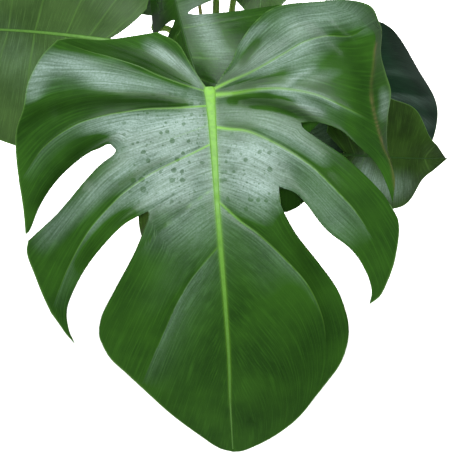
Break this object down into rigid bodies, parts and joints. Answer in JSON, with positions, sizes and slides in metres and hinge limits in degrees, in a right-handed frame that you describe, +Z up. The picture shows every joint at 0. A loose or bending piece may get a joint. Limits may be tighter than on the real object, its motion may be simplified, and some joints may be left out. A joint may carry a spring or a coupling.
{
  "type": "potted swiss cheese plant",
  "caption": "Young potted swiss cheese plant with glossy split leaves on arching stalks in a plain clay pot.",
  "frame": {"origin": "centre of the flat underside of the pot, on the surface that the pot stands on", "axes": "+Z up along the pot's axis, -Y towards the viewer of the picture and the front leaf, +X to the viewer's right"},
  "size_m": [0.5389, 0.6664, 0.605],
  "materials": {
    "fired_clay": "plain unglazed, matte",
    "potting_soil": "loose crumbs of peat and bark",
    "stem_skin": "smooth green bark with rings",
    "root_skin": "rough brown",
    "petiole_skin": "smooth, slightly glossy",
    "young_leaf": "smooth, glossy, pale green",
    "glossy_leaf": "glossy deep green with pale veins",
    "matte_leaf": "satin olive green with pale veins",
    "grey_leaf": "satin grey-green",
    "dark_leaf": "glossy dark blue-green",
    "olive_leaf": "glossy olive green"
  },
  "bodies": {
    "root": {"pot": "fired_clay", "soil": "potting_soil", "stem": "stem_skin", "aerial_root_1": "root_skin", "aerial_root_2": "root_skin", "aerial_root_3": "root_skin", "rolled_leaf": "young_leaf", "front_blade": "glossy_leaf", "front_petiole": "petiole_skin", "upper_left_blade": "matte_leaf", "upper_left_petiole": "petiole_skin", "notch_blade": "glossy_leaf", "notch_petiole": "petiole_skin", "back_left_blade": "grey_leaf", "back_left_petiole": "petiole_skin", "right_blade": "dark_leaf", "right_petiole": "petiole_skin", "small_blade": "olive_leaf", "small_petiole": "petiole_skin", "top_blade": "matte_leaf", "top_petiole": "petiole_skin", "back_blade": "glossy_leaf", "back_petiole": "petiole_skin"}
  },
  "joints": []
}
